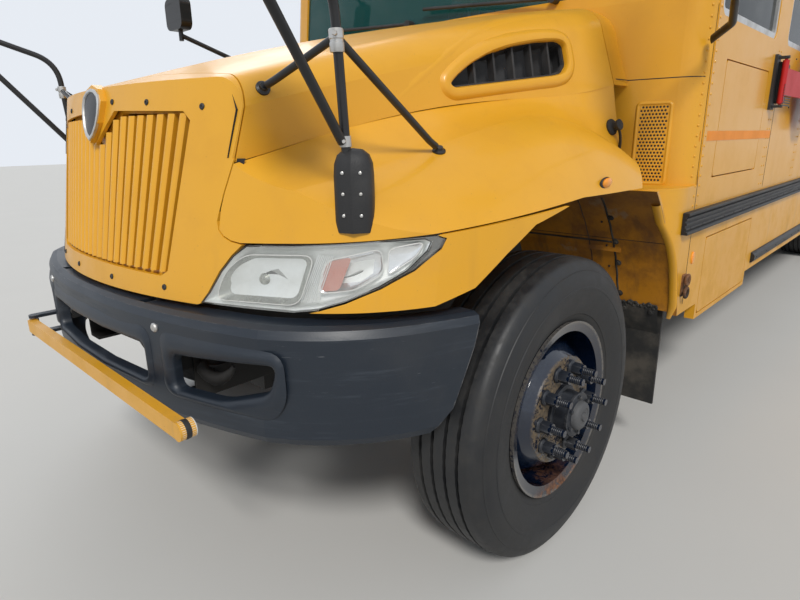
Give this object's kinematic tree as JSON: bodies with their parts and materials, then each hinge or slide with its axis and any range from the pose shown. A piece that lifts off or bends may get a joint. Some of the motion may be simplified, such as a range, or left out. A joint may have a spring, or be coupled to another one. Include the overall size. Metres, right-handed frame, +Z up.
{
  "type": "school bus",
  "caption": "Long-nosed school bus with a tilting hood, steered front wheels, twin rear wheels, folding entry door, stop arm, crossing gate and seats.",
  "frame": {"origin": "on the ground under the middle of the bus", "axes": "+X towards the front, +Y to the bus's left, +Z up"},
  "size_m": [11.392, 3.08, 3.1399],
  "materials": {
    "yellow_paint": "glossy, faded, with dust and scuffs",
    "black_paint": "scuffed semi-gloss black paint",
    "chassis_black": "dusty black chassis paint with rust",
    "cast_iron": "dull, rusty",
    "steel": "dull, heat stained",
    "tyre": "worn rubber, dusty",
    "wheel_black": "glossy black with rust at the hub",
    "floor_rubber": "ribbed black rubber",
    "glass": "clear, faintly green",
    "white_plastic": "weathered white",
    "aluminium": "dull anodised",
    "door_black": "black paint",
    "rail_black": "ribbed, black paint",
    "plastic_black": "moulded black plastic",
    "lens": "hazy clear lens",
    "lamp_red": "red and amber lenses",
    "seat_vinyl": "dark grey-blue vinyl",
    "seat_steel": "dark grey paint",
    "seat_cloth": "grey cloth",
    "plastic_grey": "grained dark grey plastic",
    "sign_red": "red reflective sheet, blank",
    "rubber": "black rubber, dusty"
  },
  "bodies": {
    "bus": {"chassis_frame": "chassis_black", "front_axle": "chassis_black", "rear_axle": "chassis_black", "engine": "cast_iron", "exhaust": "steel", "fuel_tank": "chassis_black", "front_bumper": "black_paint", "rear_bumper": "black_paint", "floor": "floor_rubber", "cowl": "yellow_paint", "front_cap": "yellow_paint", "windshield": "glass", "side_left": "yellow_paint", "side_right": "yellow_paint", "roof": "yellow_paint", "rear_wall": "yellow_paint", "window_frames": "aluminium", "window_glass": "glass", "rub_rails": "rail_black", "driver_mirrors": "plastic_black", "wipers": "plastic_black", "lamps": "lamp_red", "seat_pads_left": "seat_vinyl", "seat_pads_right": "seat_vinyl", "seat_frames": "seat_steel", "driver_seat": "seat_cloth", "dashboard": "plastic_grey", "stop_arm_box": "plastic_black", "mud_flaps": "rubber"},
    "hood": {"hood_top": "yellow_paint", "nose": "yellow_paint", "fender_left": "yellow_paint", "fender_right": "yellow_paint", "hood_vents": "plastic_black", "grille": "yellow_paint", "headlamps": "lens", "crossview_mirrors": "plastic_black"},
    "crossing_gate": {"crossing_gate": "yellow_paint"},
    "battery_door": {"battery_door": "yellow_paint"},
    "electrical_door": {"electrical_door": "yellow_paint"},
    "fuel_door": {"fuel_door": "yellow_paint"},
    "hatch_front": {"hatch_front": "white_plastic"},
    "hatch_rear": {"hatch_rear": "white_plastic"},
    "rear_door": {"rear_door": "yellow_paint"},
    "entry_door_front": {"entry_door_front": "door_black"},
    "entry_door_rear": {"entry_door_rear": "door_black"},
    "stop_arm": {"stop_arm": "sign_red"},
    "steering_wheel": {"steering_wheel": "plastic_black"},
    "knuckle_left": {"knuckle_left": "cast_iron"},
    "knuckle_right": {"knuckle_right": "cast_iron"},
    "front_wheel_left": {"wheel_front_left": "wheel_black", "tyre_front_left": "tyre"},
    "front_wheel_right": {"wheel_front_right": "wheel_black", "tyre_front_right": "tyre"},
    "rear_wheels_left": {"wheels_rear_left": "wheel_black", "tyres_rear_left": "tyre"},
    "rear_wheels_right": {"wheels_rear_right": "wheel_black", "tyres_rear_right": "tyre"}
  },
  "joints": [
    {"name": "hood_tilt", "type": "hinge", "parent": "bus", "child": "hood", "pos_m": [5.566, 0, 0.78], "axis": [0, 1, 0], "range_deg": [0, 80]},
    {"name": "entry_front", "type": "hinge", "parent": "bus", "child": "entry_door_front", "pos_m": [3.676, -1.219, 1.4], "axis": [0, 0, 1], "range_deg": [0, 90]},
    {"name": "entry_rear", "type": "hinge", "parent": "bus", "child": "entry_door_rear", "pos_m": [2.876, -1.219, 1.4], "axis": [0, 0, -1], "range_deg": [0, 90]},
    {"name": "steering", "type": "hinge", "parent": "bus", "child": "steering_wheel", "pos_m": [3.426, 0.58, 1.66], "axis": [-0.4983, 0, 0.867], "range_deg": [-720, 720]},
    {"name": "knuckle_turn_left", "type": "hinge", "parent": "bus", "child": "knuckle_left", "pos_m": [4.606, 0.905, 0.505], "axis": [0, 0, 1], "range_deg": [-36, 36]},
    {"name": "knuckle_turn_right", "type": "hinge", "parent": "bus", "child": "knuckle_right", "pos_m": [4.606, -0.905, 0.505], "axis": [0, 0, 1], "range_deg": [-36, 36]},
    {"name": "wheel_spin_front_left", "type": "hinge", "parent": "knuckle_left", "child": "front_wheel_left", "pos_m": [4.606, 1.02, 0.505], "axis": [0, 1, 0], "continuous": true},
    {"name": "wheel_spin_front_right", "type": "hinge", "parent": "knuckle_right", "child": "front_wheel_right", "pos_m": [4.606, -1.02, 0.505], "axis": [0, 1, 0], "continuous": true},
    {"name": "wheel_spin_rear_left", "type": "hinge", "parent": "bus", "child": "rear_wheels_left", "pos_m": [-1.846, 1.075, 0.505], "axis": [0, 1, 0], "continuous": true},
    {"name": "wheel_spin_rear_right", "type": "hinge", "parent": "bus", "child": "rear_wheels_right", "pos_m": [-1.846, -1.075, 0.505], "axis": [0, 1, 0], "continuous": true},
    {"name": "stop_arm_swing", "type": "hinge", "parent": "bus", "child": "stop_arm", "pos_m": [2.816, 1.262, 1.605], "axis": [0, 0, -1], "range_deg": [0, 90]},
    {"name": "gate_swing", "type": "hinge", "parent": "bus", "child": "crossing_gate", "pos_m": [5.668, -0.52, 0.69], "axis": [0, 0, -1], "range_deg": [0, 90]},
    {"name": "rear_door_swing", "type": "hinge", "parent": "bus", "child": "rear_door", "pos_m": [-5.624, -0.38, 1.7], "axis": [0, 0, 1], "range_deg": [0, 110]},
    {"name": "hatch_front_lift", "type": "hinge", "parent": "bus", "child": "hatch_front", "pos_m": [1.968, 0, 3.112], "axis": [0, -1, 0], "range_deg": [0, 80]},
    {"name": "hatch_rear_lift", "type": "hinge", "parent": "bus", "child": "hatch_rear", "pos_m": [-2.932, 0, 3.112], "axis": [0, -1, 0], "range_deg": [0, 80]},
    {"name": "battery_door_swing", "type": "hinge", "parent": "bus", "child": "battery_door", "pos_m": [3.566, 1.219, 0.78], "axis": [0, 0, -1], "range_deg": [0, 100]},
    {"name": "electrical_door_swing", "type": "hinge", "parent": "bus", "child": "electrical_door", "pos_m": [3.606, 1.219, 1.42], "axis": [0, 0, -1], "range_deg": [0, 100]},
    {"name": "fuel_door_swing", "type": "hinge", "parent": "bus", "child": "fuel_door", "pos_m": [1.606, -1.219, 0.8], "axis": [0, 0, 1], "range_deg": [0, 100]}
  ],
  "couplings": [
    {"joint": "entry_rear", "follows": "entry_front", "ratio": 1},
    {"joint": "knuckle_turn_left", "follows": "steering", "ratio": 0.05},
    {"joint": "knuckle_turn_right", "follows": "steering", "ratio": 0.05}
  ]
}
